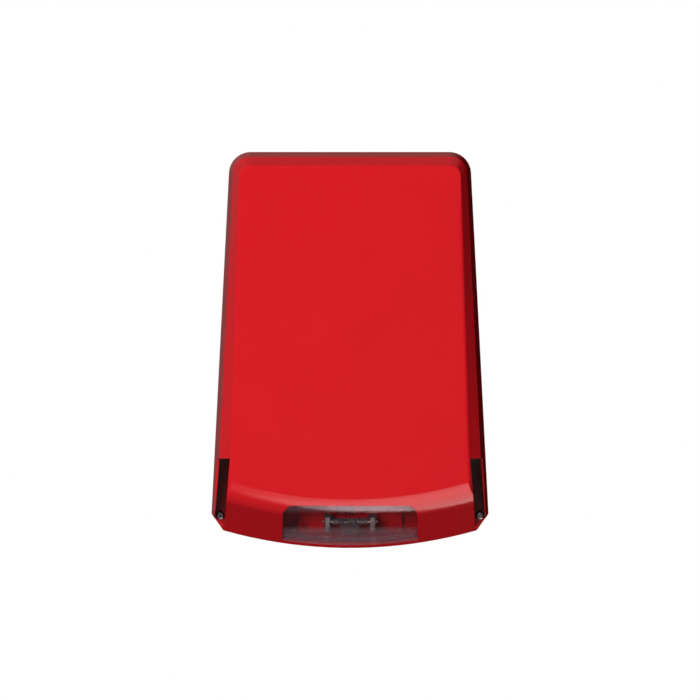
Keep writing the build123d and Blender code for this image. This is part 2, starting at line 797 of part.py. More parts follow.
with BuildPart() as transformer:
    block(34, board_top, -62, 20, 3.0, 17)
    block(34, board_top + 3.0, -62, 11, 11.0, 14)
    block(34, board_top + 3.0, -62, 18, 2.4, 6)
    block(34, board_top + 14.0, -62, 19, 2.4, 15)
in_part("horn_transformer", transformer)

with BuildPart() as light:
    with BuildSketch(front(board_top)):
        with Locations((80, -10)):
            Circle(1.9)
    extrude(amount=1.2)
    with BuildSketch(front(board_top + 1.0)):
        with Locations((80, -10)):
            Circle(1.5)
    extrude(amount=3.6)
    fillet(light.faces().sort_by(Axis.Y)[0].edges(), 1.3)
in_part("status_light", light)

# switch block with four small sliders that move along Z
dip_x, dip_z = 66.0, -24.0
dip_count = 4
dip_travel = 1.6
dip_cap = (1.3, 1.8, 1.4)
with BuildPart() as dip:
    block(dip_x, board_top, dip_z, 11.2, 3.6, 6.4)
    for i in range(dip_count):
        x = dip_x + (i - (dip_count - 1) / 2) * 2.54
        block(x, board_top + 2.0, dip_z, dip_cap[0] + 0.16, 3.0, dip_travel + dip_cap[2] + 0.2, Mode.SUBTRACT)
in_part("switch_block", dip)
for i in range(dip_count):
    x = dip_x + (i - (dip_count - 1) / 2) * 2.54
    with BuildPart() as slider:
        block(x, board_top + 2.08, dip_z - dip_travel / 2, *dip_cap)
        fillet(slider.edges().filter_by(Axis.X).sort_by(Axis.Y)[0:2], 0.25)
    in_part(f"switch_slider_{i + 1}", slider)


print("tamper and strobe")
plunger_top = tamper_post_end - tamper_gap
with BuildPart() as tamper:
    block(tamper_x, board_top, tamper_z, 8.0, 7.8, 8.0)
    chamfer(tamper.edges().filter_by(Axis.Y), 0.6)
    with BuildSketch(front(board_top + 1.4)):
        with Locations((tamper_x, tamper_z)):
            Circle(2.15)
    extrude(amount=5.2, mode=Mode.SUBTRACT)
    with BuildSketch(front(board_top + 1.4)):
        with Locations((tamper_x, tamper_z)):
            Circle(1.26)
    extrude(amount=10, mode=Mode.SUBTRACT)
in_part("tamper_switch", tamper)

with BuildPart() as plunger:
    with BuildSketch(front(board_top + 2.6)):
        with Locations((tamper_x, tamper_z)):
            Circle(2.05)
    extrude(amount=1.2)
    with BuildSketch(front(board_top + 2.6)):
        with Locations((tamper_x, tamper_z)):
            Circle(1.2)
    extrude(amount=plunger_top - board_top - 2.6)
    fillet(plunger.faces().sort_by(Axis.Y)[0].edges(), 0.5)
in_part("tamper_plunger", plunger)

with BuildPart() as holder:
    block(0, board_top, tube_z, 2 * clip_x, 8.0, 3.0)
    for side in (1, -1):
        block(side * clip_x, board_top, tube_z - 0.9, 5.4, 14.0, 12.4)
    with BuildSketch(front(board_top)):
        with BuildLine():
            Polyline((-8.4, tube_z - 0.6), (8.4, tube_z - 0.6), (5.4, tube_z - 9.8), (-5.4, tube_z - 9.8),
                     close=True)
        make_face()
    extrude(amount=tube_f - board_top - 3.2)
    with BuildSketch(Plane.YZ.offset(-12)):
        with Locations((-tube_f, tube_z)):
            Circle(tube_radius + 0.6)
    extrude(amount=24, mode=Mode.SUBTRACT)
    for side in (1, -1):
        block(side * clip_x, board_top - 1, tube_z - 5.3, 1.4, 16, 5.0, Mode.SUBTRACT)
in_part("tube_holder", holder)
print(holder.part.is_valid, len(holder.part.solids()))

with BuildPart() as clips:
    for side in (1, -1):
        block(side * clip_x, tube_f - 3.2, tube_z - 1.9, 3.0, 6.4, 8.8)
        block(side * clip_x, board_top, tube_z - 5.3, 1.2, tube_f - board_top - 2, 4.6)
    with BuildSketch(Plane.YZ.offset(-25)):
        with Locations((-tube_f, tube_z)):
            Circle(tube_radius + 0.04)
    extrude(amount=50, mode=Mode.SUBTRACT)
in_part("tube_clips", clips)
print(clips.part.is_valid, len(clips.part.solids()))

electrode = 0.8
with BuildPart() as tube:
    with BuildSketch(Plane.YZ.offset(-tube_half)):
        with Locations((-tube_f, tube_z)):
            Circle(tube_radius)
    extrude(amount=2 * tube_half)
    with BuildSketch(Plane.YZ.offset(-tube_half + 1.5)):
        with Locations((-tube_f, tube_z)):
            Circle(tube_radius - 0.6)
    extrude(amount=2 * tube_half - 3.0, mode=Mode.SUBTRACT)
    with BuildSketch(Plane.YZ.offset(-tube_half - 1)):
        with Locations((-tube_f, tube_z)):
            Circle(electrode)
    extrude(amount=2 * tube_half + 2, mode=Mode.SUBTRACT)
in_part("flash_tube", tube)

with BuildPart() as electrodes:
    for side in (1, -1):
        with BuildSketch(Plane.YZ.offset(side * (tube_half + 1.6))):
            with Locations((-tube_f, tube_z)):
                Circle(electrode)
        extrude(amount=-side * 8.5)
        with BuildSketch(Plane.YZ.offset(side * (tube_half - 5.0))):
            with Locations((-tube_f, tube_z)):
                Circle(1.5)
        extrude(amount=-side * 2.0)
in_part("tube_electrodes", electrodes)

with BuildPart() as flash_capacitor:
    with BuildSketch(Plane.YZ.offset(-26)):
        with Locations((-board_top - 6.0, -106)):
            Circle(6.0)
    extrude(amount=34)
    fillet(flash_capacitor.faces().filter_by(Axis.X).edges(), 0.9)
in_part("flash_capacitor", flash_capacitor)

with BuildPart() as trigger:
    block(-4, board_top, -120.5 + 3.2, 14, 1.0, 8)
    block(-4, board_top + 1, -117.3, 9, 5.5, 7)
in_part("trigger_coil", trigger)

with BuildPart() as grommet:
    with BuildSketch(front(0.4)):
        with Locations((grommet_x, grommet_z)):
            Circle(grommet_hole - 0.05)
    extrude(amount=base_floor - 0.4)
    with BuildSketch(front(base_floor)):
        with Locations((grommet_x, grommet_z)):
            Circle(grommet_hole + 2.6)
    extrude(amount=2.0)
    fillet(grommet.faces().sort_by(Axis.Y)[0].edges(), 0.9)
    with BuildSketch(front(0)):
        with Locations((grommet_x, grommet_z)):
            Circle(3.5)
    extrude(amount=8, mode=Mode.SUBTRACT)
in_part("cable_grommet", grommet)

print("leads")
receptacle_z = battery_z + bh / 2 + 0.3
with BuildPart() as receptacles:
    for x in (battery_x - 36, battery_x + 36):
        block(x, tab_f - 1.5, receptacle_z + 4.6, 6.6, 3.0, 9.2)
        block(x, tab_f - 0.45, receptacle_z + 3.0, 4.9, 0.9, 7.4, Mode.SUBTRACT)
        with BuildSketch(Plane.XY.offset(receptacle_z + 7.6)):
            with Locations((x, -tab_f)):
                Circle(0.95)
        extrude(amount=3, mode=Mode.SUBTRACT)
in_part("lead_receptacles", receptacles)


def lead(points, radius, bend):
    # Insulated lead swept along straight runs joined by round bends
    route = [(x, -f, z) for x, f, z in points]
    with BuildPart() as cable:
        with BuildLine() as path:
            FilletPolyline(*route, radius=bend)
        with BuildSketch(Plane(origin=path.line @ 0, z_dir=path.line % 0)):
            Circle(radius)
        sweep(path=path.line)
    return cable.part


wire = 0.9
lead_start = receptacle_z + 7.8
way = [terminal_x + (i - (ways - 1) / 2) * 5.08 for i in range(ways)]
way_end = terminal_z + 1.5
with BuildPart() as red_lead:
    add(lead([(battery_x + 36, tab_f, lead_start), (battery_x + 36, tab_f, 2), (4, lead_f, 28),
          (way[1], lead_f, 28), (way[1], lead_f, way_end)], wire, 6))
in_part("battery_lead_red", red_lead)
with BuildPart() as black_lead:
    add(lead([(battery_x - 36, tab_f, lead_start), (battery_x - 36, tab_f, -4), (-66, lead_f, 22),
          (way[0], lead_f, 22), (way[0], lead_f, way_end)], wire, 6))
in_part("battery_lead_black", black_lead)
with BuildPart() as horn_lead:
    for k in (0, 1):
        level = horn_z - 12 + (1.3 if k else -1.3)
        add(lead([(horn_x + 20, lead_f, level), (way[3 + k], lead_f, level), (way[3 + k], lead_f, way_end)],
                 wire, 8))
in_part("horn_lead", horn_lead)

plug_main = (46.0, -80.0)
plug_strobe = (18.0, -99.5)
with BuildPart() as plugs:
    for (x, z), side in ((plug_main, -1), (plug_strobe, 1)):
        block(x, board_top, z, 8.0, 6.0, 5.0)
        for k in (-1, 0, 1):
            with BuildSketch(Plane.XY.offset(z + side * 2.5)):
                with Locations((x + 2.0 * k, -lead_f)):
                    Circle(0.65)
            extrude(amount=-side * 3.0, mode=Mode.SUBTRACT)
in_part("lead_plugs", plugs)
with BuildPart() as strobe_lead:
    for k in (-1, 0, 1):
        middle = (plug_main[1] + plug_strobe[1]) / 2 - 2.0 * k
        from_x, to_x = plug_main[0] + 2.0 * k, plug_strobe[0] + 2.0 * k
        add(lead([(from_x, lead_f, plug_main[1] - 1.5), (from_x, lead_f, middle),
                  (to_x, lead_f, middle), (to_x, lead_f, plug_strobe[1] + 1.5)], 0.6, 2.2))
in_part("strobe_lead", strobe_lead)
print("done")
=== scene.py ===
import bpy
import json
import math
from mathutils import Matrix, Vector


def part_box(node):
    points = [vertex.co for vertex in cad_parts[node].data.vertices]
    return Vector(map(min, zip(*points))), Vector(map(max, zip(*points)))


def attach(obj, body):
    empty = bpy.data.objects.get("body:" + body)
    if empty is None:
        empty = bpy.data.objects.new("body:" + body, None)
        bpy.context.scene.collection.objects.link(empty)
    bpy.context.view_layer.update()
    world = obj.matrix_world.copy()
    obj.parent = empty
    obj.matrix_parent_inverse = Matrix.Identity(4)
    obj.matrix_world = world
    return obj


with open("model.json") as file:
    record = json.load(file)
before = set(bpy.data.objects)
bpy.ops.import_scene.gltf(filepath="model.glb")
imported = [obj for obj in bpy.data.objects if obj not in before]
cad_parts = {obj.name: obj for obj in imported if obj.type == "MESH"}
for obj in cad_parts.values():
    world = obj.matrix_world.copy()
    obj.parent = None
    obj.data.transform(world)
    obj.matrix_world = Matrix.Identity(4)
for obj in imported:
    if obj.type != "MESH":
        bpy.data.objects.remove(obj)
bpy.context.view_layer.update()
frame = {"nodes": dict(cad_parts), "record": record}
print("frame loaded")

# colours and nodes


def hexColour(code, alpha=1.0):
    out = []
    for i in (1, 3, 5):
        v = int(code[i:i + 2], 16) / 255
        out.append(v / 12.92 if v <= 0.04045 else ((v + 0.055) / 1.055) ** 2.4)
    return (out[0], out[1], out[2], alpha)


def addNode(tree, kind, settings=None, links=None):
    # settings go on the node or its inputs, links are {input: (node, output)}
    node = tree.nodes.new(kind)
    for key, value in (settings or {}).items():
        if isinstance(key, str) and hasattr(node, key) and key not in node.inputs:
            setattr(node, key, value)
        else:
            node.inputs[key].default_value = value
    for key, (source, output) in (links or {}).items():
        tree.links.new(source.outputs[output], node.inputs[key])
    return node


def newMaterial(name):
    material = bpy.data.materials.new(name)
    material.use_nodes = True
    material.node_tree.nodes.clear()
    return material, material.node_tree


def mouldedPlastic(name, colour, second, roughness, grainMm, bump, specular=0.5, paintedShadeRecessMm=0):
    # two close tones in slow patches, small changes of gloss and a fine tool texture;
    # with a recess size in mm, painted shade: the deep narrow recesses of that size are painted near black
    # by occlusion, darker than the light leaves them
    patchMm = 45.0
    material, tree = newMaterial(name)
    place = addNode(tree, "ShaderNodeTexCoord")
    patches = addNode(tree, "ShaderNodeTexNoise",
                      {"Scale": 1000 / patchMm, "Detail": 3.0, "Roughness": 0.5},
                      {"Vector": (place, "Object")})
    tone = addNode(tree, "ShaderNodeMix",
                   {"data_type": "RGBA", 6: hexColour(colour), 7: hexColour(second)}, {0: (patches, 0)})
    # painted shade: occlusion mixes a near-black tone into the deep recesses
    if paintedShadeRecessMm:
        closed = addNode(tree, "ShaderNodeAmbientOcclusion",
                         {"only_local": True, "Distance": paintedShadeRecessMm / 1000})
        paintedShadeFactor = addNode(tree, "ShaderNodeMapRange",
                            {"From Min": 0.22, "From Max": 0.75, "To Min": 0.1}, {"Value": (closed, 1)})
        tone = addNode(tree, "ShaderNodeMix", {"data_type": "RGBA", 6: (0.03, 0.004, 0.006, 1)},
                       {0: (paintedShadeFactor, 0), 7: (tone, 2)})
    grain = addNode(tree, "ShaderNodeTexNoise", {"Scale": 1000 / grainMm, "Detail": 2.0, "Roughness": 0.6},
                    {"Vector": (place, "Object")})
    gloss = addNode(tree, "ShaderNodeMapRange", {"To Min": roughness - 0.04, "To Max": roughness + 0.05},
                    {"Value": (grain, 0)})
    relief = addNode(tree, "ShaderNodeBump", {"Strength": bump, "Distance": 0.0002}, {"Height": (grain, 0)})
    shader = addNode(tree, "ShaderNodeBsdfPrincipled", {"Specular IOR Level": specular},
                     {"Base Color": (tone, 2), "Roughness": (gloss, 0), "Normal": (relief, 0)})
    addNode(tree, "ShaderNodeOutputMaterial", None, {"Surface": (shader, 0)})
    return material


def drawnMetal(name, colour, roughness, scratchMm):
    # fine streaks along one direction and a slow change of tarnish
    stretch = (1, 12, 1)
    material, tree = newMaterial(name)
    place = addNode(tree, "ShaderNodeTexCoord")
    turned = addNode(tree, "ShaderNodeMapping", {"Scale": stretch}, {"Vector": (place, "Object")})
    streak = addNode(tree, "ShaderNodeTexNoise", {"Scale": 1000 / scratchMm, "Detail": 3.0},
                     {"Vector": (turned, 0)})
    gloss = addNode(tree, "ShaderNodeMapRange", {"To Min": roughness - 0.06, "To Max": roughness + 0.1},
                    {"Value": (streak, 0)})
    dull = addNode(tree, "ShaderNodeTexNoise", {"Scale": 160.0, "Detail": 2.0},
                   {"Vector": (place, "Object")})
    base = hexColour(colour)
    darker = (base[0] * 0.72, base[1] * 0.72, base[2] * 0.74, 1)
    tone = addNode(tree, "ShaderNodeMix", {"data_type": "RGBA", 6: darker, 7: base}, {0: (dull, 0)})
    relief = addNode(tree, "ShaderNodeBump", {"Strength": 0.12, "Distance": 0.0001},
                     {"Height": (streak, 0)})
    shader = addNode(tree, "ShaderNodeBsdfPrincipled", {"Metallic": 1.0},
                     {"Base Color": (tone, 2), "Roughness": (gloss, 0), "Normal": (relief, 0)})
    addNode(tree, "ShaderNodeOutputMaterial", None, {"Surface": (shader, 0)})
    return material


def printedBoard(name, mask, track, trackMm, roughness, specular):
    # solder mask with raised lines where the copper runs under it
    material, tree = newMaterial(name)
    place = addNode(tree, "ShaderNodeTexCoord")
    axes = addNode(tree, "ShaderNodeSeparateXYZ", None, {0: (place, "Object")})
    flat = addNode(tree, "ShaderNodeCombineXYZ", None, {0: (axes, 0), 1: (axes, 2)})
    wander = addNode(tree, "ShaderNodeTexNoise", {"Scale": 60.0, "Detail": 0.0}, {"Vector": (flat, 0)})
    where = addNode(tree, "ShaderNodeMapRange", {"From Min": 0.47, "From Max": 0.5},
                    {"Value": (wander, 0)})
    lines = addNode(tree, "ShaderNodeTexBrick",
                    {"Scale": 1000 / trackMm, "Mortar Size": 0.028, "Mortar Smooth": 0.2,
                     "Brick Width": 2.7, "Row Height": 0.42, "Color1": (0, 0, 0, 1),
                     "Color2": (0, 0, 0, 1), "Mortar": (1, 1, 1, 1)},
                    {"Vector": (flat, 0)})
    share = addNode(tree, "ShaderNodeMath", {"operation": "MULTIPLY"}, {0: (lines, 0), 1: (where, 0)})
    tone = addNode(tree, "ShaderNodeMix", {"data_type": "RGBA", 6: hexColour(mask), 7: hexColour(track)},
                   {0: (share, 0)})
    relief = addNode(tree, "ShaderNodeBump", {"Strength": 0.3, "Distance": 0.0001}, {"Height": (share, 0)})
    shader = addNode(tree, "ShaderNodeBsdfPrincipled",
                     {"Roughness": roughness, "Specular IOR Level": specular},
                     {"Base Color": (tone, 2), "Normal": (relief, 0)})
    addNode(tree, "ShaderNodeOutputMaterial", None, {"Surface": (shader, 0)})
    return material


def clearMoulding(name, tint, haze, edge, roughness, cloud, ribbed=None):
    # clear skin that doesn't bend the light: shows what is behind it, mirrors the room at its
    # edges and holds a little haze; with ribbed, more of the pale skin is laid on the crown as a painted
    # reflection and below the height of the ribs as a painted sheen
    material, tree = newMaterial(name)
    place = addNode(tree, "ShaderNodeTexCoord")
    cloudy = addNode(tree, "ShaderNodeTexNoise", {"Scale": 90.0, "Detail": 2.0},
                     {"Vector": (place, "Object")})
    facing = addNode(tree, "ShaderNodeLayerWeight", {"Blend": 0.5})
    steep = addNode(tree, "ShaderNodeMath", {"operation": "POWER", 1: 4.0}, {0: (facing, 1)})
    rim = addNode(tree, "ShaderNodeMath", {"operation": "MULTIPLY", 1: edge}, {0: (steep, 0)})
    hazeAndSheen = addNode(tree, "ShaderNodeMapRange", {"To Min": cloud * 0.7, "To Max": cloud * 1.3},
                   {"Value": (cloudy, 0)})
    # painted reflection on the crown and painted sheen below the top of the ribs, laid on by height alone
    if ribbed:
        axes = addNode(tree, "ShaderNodeSeparateXYZ", None, {0: (place, "Object")})
        crown = addNode(tree, "ShaderNodeMapRange",
                        {"From Min": (ribbed["crown"] - 1.5) / 1000,
                         "From Max": (ribbed["crown"] + 1) / 1000, "To Max": ribbed["crownHazeAndReflection"]},
                        {"Value": (axes, 2), "To Min": (hazeAndSheen, 0)})
        hazeAndSheen = addNode(tree, "ShaderNodeMapRange",
                       {"From Min": (ribbed["top"] + 2) / 1000,
                        "From Max": (ribbed["top"] - 1) / 1000, "To Max": ribbed["haze"]},
                       {"Value": (axes, 2), "To Min": (crown, 0)})
    cover = addNode(tree, "ShaderNodeMath", {"operation": "ADD", "use_clamp": True},
                    {0: (rim, 0), 1: (hazeAndSheen, 0)})
    skin = addNode(tree, "ShaderNodeBsdfPrincipled",
                   {"Base Color": hexColour(haze), "Roughness": roughness, "Metallic": 0.5})
    through = addNode(tree, "ShaderNodeBsdfTransparent", {"Color": hexColour(tint)})
    mixed = addNode(tree, "ShaderNodeMixShader", None, {0: (cover, 0), 1: (through, 0), 2: (skin, 0)})
    addNode(tree, "ShaderNodeOutputMaterial", None, {"Surface": (mixed, 0)})
    return material


finishes = {
    # satin alarm red in two near tones, with painted shade that turns it almost black deep in the side
    # channels
    "red_plastic": mouldedPlastic("mouldedRedAbs", "#CE171F", "#C8141D", 0.18, 0.9, 0.04, 0.35, 22),
    # clear window, with a pale painted sheen over the ribs and a little painted reflection on the crown
    "clear_polycarbonate": clearMoulding("clearPolycarbonate", "#FBF3F4", "#E6CFDA", 0.22, 0.10, 0.012,
                                         {"top": -130.5, "haze": 0.24, "crown": -117.5, "crownHazeAndReflection": 0.1}),
    # dull soft black with no shine
    "black_rubber": mouldedPlastic("mouldedRubber", "#1C1C1E", "#242427", 0.72, 0.5, 0.3),
    # pale grey metal with fine streaks
    "zinc_steel": drawnMetal("zincPlatedSteel", "#C3C6C9", 0.3, 0.6),
    # warm yellow turned metal
    "brass_metal": drawnMetal("turnedBrass", "#B8924A", 0.3, 0.4),
    # dark grainy plastic with a low shine
    "black_plastic": mouldedPlastic("blackAbs", "#1E1F21", "#27282B", 0.5, 0.7, 0.25),
    # thin bright yellow sheet
    "piezo_brass": drawnMetal("thinBrassSheet", "#C9A557", 0.28, 0.5),
    # dull dark grey case
    "battery_grey": mouldedPlastic("greyBatteryCase", "#3A3D43", "#44474D", 0.55, 0.8, 0.3),
    # soft silver solder and tinned leads
    "tinned_metal": drawnMetal("tinnedSteel", "#C9CAC8", 0.32, 0.5),
    # coarse dull grey strip
    "strap_steel": drawnMetal("galvanisedStrip", "#A3A7AB", 0.4, 1.2),
    # green board with paler raised tracks
    "circuit_green": printedBoard("greenSolderMask", "#155029", "#2C7F49", 3.2, 0.32, 0.5),
    # red board seen dark through the window
    "circuit_red": printedBoard("redSolderMask", "#DA1F2A", "#E83A44", 3.2, 0.5, 0.15),
    # grainy mid green nylon
    "terminal_green": mouldedPlastic("greenPolyamide", "#3B8F45", "#46A052", 0.45, 0.6, 0.2),
    # matt near-black package
    "chip_black": mouldedPlastic("epoxyPackage", "#17181A", "#202124", 0.55, 0.3, 0.3),
    # glossy dark blue film
    "capacitor_sleeve": mouldedPlastic("shrinkSleeve", "#1F2C4A", "#263658", 0.28, 0.8, 0.1),
    # brown tape over a dark core
    "transformer_core": mouldedPlastic("ferriteAndTape", "#3E3328", "#4C3F31", 0.5, 0.8, 0.3),
    # deep glossy red dome
    "light_red": mouldedPlastic("tintedEpoxy", "#A3141C", "#B51C25", 0.12, 1.0, 0.02),
    # satin blue body
    "switch_blue": mouldedPlastic("blueNylon", "#1F4A9C", "#2857B2", 0.4, 0.5, 0.2),
    # off-white sliders
    "switch_white": mouldedPlastic("whiteAcetal", "#E4E2DB", "#EFEDE6", 0.38, 0.5, 0.15),
    # dull warm grey moulding
    "holder_grey": mouldedPlastic("greyPolyamide", "#4A4145", "#554A4F", 0.45, 0.5, 0.25),
    # thin pale glass with bright edges
    "tube_glass": clearMoulding("flashTubeGlass", "#F2F4F6", "#F4F6F8", 0.6, 0.06, 0.05),
    # fine grey wire
    "electrode_metal": drawnMetal("drawnNickelWire", "#97999C", 0.34, 0.3),
    # dull red tape round the coil
    "coil_tape": mouldedPlastic("redCoilTape", "#9C1620", "#A81B26", 0.45, 0.6, 0.15, 0.2),
    # creamy nylon
    "connector_white": mouldedPlastic("naturalNylon", "#DDD9CA", "#E8E4D6", 0.42, 0.5, 0.2),
    # soft red sleeve
    "red_wire": mouldedPlastic("redInsulation", "#BE2127", "#CB2A2F", 0.35, 0.6, 0.1),
    # soft black sleeve
    "black_wire": mouldedPlastic("blackInsulation", "#19191B", "#232326", 0.38, 0.6, 0.1),
    # soft blue sleeve
    "blue_wire": mouldedPlastic("blueInsulation", "#27549E", "#3060AE", 0.35, 0.6, 0.1),
    # soft white sleeve
    "white_wire": mouldedPlastic("whiteInsulation", "#D4D1C8", "#DFDCD3", 0.36, 0.6, 0.1),
}

# finishes that the slots don't tell apart
# dull red paint over a screw head
finishes["red_lacquer"] = mouldedPlastic("redLacqueredSteel", "#B8141E", "#C01822", 0.4, 0.6, 0.1, 0.2)
# bright orange copper turns
finishes["copper_enamel"] = drawnMetal("enamelledCopper", "#B4602C", 0.25, 0.5)
# bright silver can ends
finishes["bright_aluminium"] = drawnMetal("brightAluminium", "#D3D5D7", 0.28, 0.5)
# darkened grey screw heads
finishes["blackened_steel"] = drawnMetal("blackZincSteel", "#79737A", 0.3, 0.6)
# the same red as the cover, a little duller and without the painted shade in the recesses
finishes["red_tray"] = mouldedPlastic("mouldedRedAbsTray", "#CE171F", "#C8141D", 0.26, 0.9, 0.06, 0.35)
finishOf = {"enclosure_base": "red_tray", "cover_screw_right": "blackened_steel",
            "cover_screw_left": "blackened_steel", "strobe_board_screws": "red_lacquer"}
slotOf = {part["node"]: part["material_slot"] for part in frame["record"]["subparts"]}
for nodeName, item in frame["nodes"].items():
    finish = finishes[finishOf.get(nodeName, slotOf[nodeName])]
    if item.data.materials:
        for i in range(len(item.data.materials)):
            item.data.materials[i] = finish
    else:
        item.data.materials.append(finish)
print("finishes assigned")

# small parts that the eye expects on the boards and round the tube

mm = 0.001
boardFront = 10.6    # front of both circuit boards, mm from the wall


def boxPiece(name, boxes, bevelMm):
    # one mesh from boxes given as (x, back depth, z, width, depth, height) in mm
    bpy.ops.object.select_all(action="DESELECT")
    for index, (x, back, z, width, deep, high) in enumerate(boxes):
        bpy.ops.mesh.primitive_cube_add(size=1, location=(x * mm, -(back + deep / 2) * mm, z * mm),
                                        scale=(width * mm, deep * mm, high * mm))
        if index == 0:
            bpy.ops.object.mode_set(mode="EDIT")
    bpy.ops.object.mode_set(mode="OBJECT")
    return finishPiece(name, bevelMm)


def finishPiece(name, bevelMm=0.0, smooth=35):
    # apply the transform, round the edges, shade the curved faces smooth
    piece = bpy.context.object
    piece.name = name
    bpy.ops.object.transform_apply(location=True, rotation=True, scale=True)
    if bevelMm:
        bpy.ops.object.mode_set(mode="EDIT")
        bpy.ops.mesh.select_all(action="SELECT")
        bpy.ops.mesh.bevel(offset=bevelMm * mm, segments=2, affect="EDGES")
        bpy.ops.object.mode_set(mode="OBJECT")
    bpy.ops.object.mode_set(mode="EDIT")
    bpy.ops.mesh.select_all(action="SELECT")
    bpy.ops.mesh.normals_make_consistent(inside=False)
    bpy.ops.object.mode_set(mode="OBJECT")
    bpy.ops.object.shade_smooth_by_angle(angle=math.radians(smooth))
    return piece


def wound(wireMm, radiusMm, pitchMm, turns, sides=8, steps=20):
    # wire helix round the X axis through the origin, starting at x = 0
    bpy.ops.object.select_all(action="DESELECT")
    bpy.ops.mesh.primitive_circle_add(vertices=sides, radius=wireMm * mm,
                                      location=(0, 0, radiusMm * mm), rotation=(math.pi / 2, 0, 0))
    wire = bpy.context.object
    bpy.ops.object.transform_apply(location=True, rotation=True, scale=True)
    turn = wire.modifiers.new("turns", "SCREW")
    turn.axis = "X"
    turn.screw_offset = pitchMm * mm
    turn.iterations = turns
    turn.steps = turn.render_steps = steps
    bpy.ops.object.modifier_apply(modifier="turns")
    bpy.ops.object.mode_set(mode="EDIT")
    bpy.ops.mesh.select_all(action="DESELECT")
    bpy.ops.mesh.select_non_manifold()
    bpy.ops.mesh.fill_holes(sides=sides)
    bpy.ops.object.mode_set(mode="OBJECT")
    return wire


def settle(piece, body, finish):
    piece.data.materials.clear()
    piece.data.materials.append(finishes[finish])
    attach(piece, body)


# trigger wire wound along the flash tube
trigger = {"wire": 0.14, "radius": 2.68, "pitch": 2.9, "turns": 9, "fromWall": 36.0, "height": -125.2}
wire = wound(trigger["wire"], trigger["radius"], trigger["pitch"], trigger["turns"])
wire.location = (-trigger["pitch"] * trigger["turns"] / 2 * mm, -trigger["fromWall"] * mm,
                 trigger["height"] * mm)
settle(finishPiece("triggerWire"), "base", "electrode_metal")
print("trigger wire wound")

# screw threads on the two cover screws
thread = {"ridge": 0.2, "radius": 1.5, "pitch": 0.72, "turns": 17, "tip": 13.6}
for side, label in ((1, "right"), (-1, "left")):
    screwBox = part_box("cover_screw_" + label)
    ridge = wound(thread["ridge"], thread["radius"], thread["pitch"], thread["turns"], 4, 16)
    ridge.rotation_euler = (0, 0, -math.pi / 2)
    ridge.location = ((screwBox[0][0] + screwBox[1][0]) / 2, -thread["tip"] * mm,
                      (screwBox[0][2] + screwBox[1][2]) / 2)
    settle(finishPiece("coverScrewThread_" + label), "cover_screw_" + label,
           "blackened_steel")
print("cover screw threads cut")

# enamelled copper turns on the horn transformer
winding = {"x": 34, "z": -62, "width": 12.8, "height": 15.4, "turns": 9, "first": 14.2,
           "pitch": 1.12, "wire": 1.0}
turns = [(winding["x"], winding["first"] + i * winding["pitch"], winding["z"], winding["width"],
          winding["wire"], winding["height"]) for i in range(winding["turns"])]
settle(boxPiece("transformerWinding", turns, 0.42), "base", "copper_enamel")
print("transformer wound")

# chip resistors with tinned ends, each its own piece
chip = {"length": 2.0, "end": 0.36, "width": 1.25, "height": 0.55, "endProud": 0.04, "bevel": 0.05}
# x, z in mm, and 1 where it stands upright
spots = [(44, -8, 0), (48, -8, 0), (52, -8, 0), (44, -13, 1), (56, -12, 1), (60, -12, 1), (41, -22, 1),
         (41, -27, 1), (60, -34, 0), (56, -34, 0), (52, -34, 0), (48, -34, 0), (62, -50, 1), (62, -54, 1),
         (66, -54, 1), (56, -62, 0), (52, -62, 0), (52, -66, 0), (56, -66, 0), (74, -30, 1), (78, -36, 1)]
for number, (x, z, upright) in enumerate(spots, 1):
    long, wide = chip["length"], chip["width"]
    size = (wide, long) if upright else (long, wide)
    body = [(x, boardFront, z, size[0], chip["height"], size[1])]
    ends = []
    for way in (-1, 1):
        shift = way * (long - chip["end"]) / 2
        ends.append((x + (0 if upright else shift), boardFront, z + (shift if upright else 0),
                     wide + chip["endProud"] if upright else chip["end"],
                     chip["height"] + chip["endProud"],
                     chip["end"] if upright else wide + chip["endProud"]))
    piece = boxPiece("chipResistor_%02d" % number, body + ends, chip["bevel"])
    settle(piece, "base", "chip_black")
    piece.data.materials.append(finishes["tinned_metal"])
    for face in piece.data.polygons:
        along = abs(face.center.z - z * mm) if upright else abs(face.center.x - x * mm)
        face.material_index = 1 if along > (long / 2 - chip["end"]) * mm else 0
print("chip resistors placed")

# seam between the battery case and its lid
seam = {"below": 6.5, "proud": 0.12, "height": 0.6, "bevel": 0.25}
caseLow, caseHigh = [[v / mm for v in corner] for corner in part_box("battery_case")]
proud = seam["proud"]
band = [((caseLow[0] + caseHigh[0]) / 2, -caseHigh[1] - proud, caseHigh[2] - seam["below"],
         caseHigh[0] - caseLow[0] + 2 * proud, caseHigh[1] - caseLow[1] + 2 * proud, seam["height"])]
settle(boxPiece("batterySeam", band, seam["bevel"]), "base", "battery_grey")
print("battery seam added")

# gull-wing leads of the two small chips
# chips as x, z in mm, and 1 where the leads stand out to the sides
gullWing = {"chips": ((34, -40, 1), (70, -44, 0)), "perSide": 4, "pitch": 1.27, "out": 3.0,
            "length": 1.2, "thick": 0.3, "width": 0.42, "bevel": 0.06}
leads = []
for x, z, across in gullWing["chips"]:
    for i in range(gullWing["perSide"]):
        step = (i - (gullWing["perSide"] - 1) / 2) * gullWing["pitch"]
        for way in (-1, 1):
            out = way * gullWing["out"]
            if across:
                leads.append((x + out, boardFront, z + step, gullWing["length"], gullWing["thick"],
                              gullWing["width"]))
            else:
                leads.append((x + step, boardFront, z + out, gullWing["width"], gullWing["thick"],
                              gullWing["length"]))
settle(boxPiece("chipLeads", leads, gullWing["bevel"]), "base", "tinned_metal")
print("chip leads placed")

